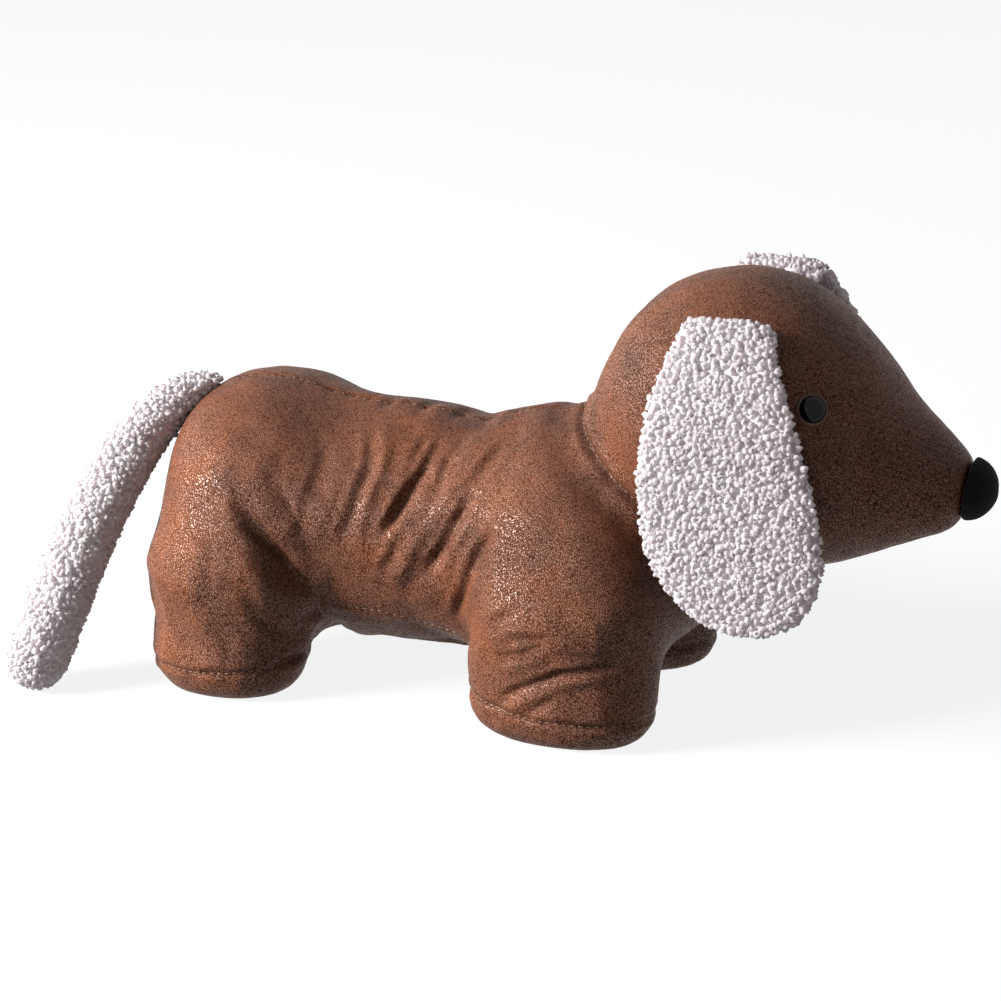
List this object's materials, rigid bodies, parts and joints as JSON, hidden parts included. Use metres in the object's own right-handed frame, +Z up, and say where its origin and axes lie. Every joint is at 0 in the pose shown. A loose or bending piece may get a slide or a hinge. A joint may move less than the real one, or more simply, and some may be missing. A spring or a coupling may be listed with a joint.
{
  "type": "weighted door stop",
  "caption": "Weighted stuffed door stop in the form of a short-legged dog, with looped-pile ears and tail, a felt nose and button eyes.",
  "frame": {"origin": "middle of the bounding box's footprint, on the floor that the soles rest on", "axes": "+X towards the nose, +Y to the dog's left, +Z up"},
  "size_m": [0.4268, 0.1754, 0.2009],
  "materials": {
    "cover": "brown imitation leather with a fine rubbed grain",
    "pile": "off-white looped pile",
    "felt": "matte black felt",
    "button": "glossy dark brown, nearly black"
  },
  "bodies": {
    "root": {"trunk": "cover", "head": "cover", "sole_hind_right": "cover", "sole_hind_left": "cover", "sole_front_right": "cover", "sole_front_left": "cover", "ear_right": "pile", "ear_left": "pile", "tail": "pile", "nose": "felt", "eye_right": "button", "eye_left": "button"}
  },
  "joints": []
}
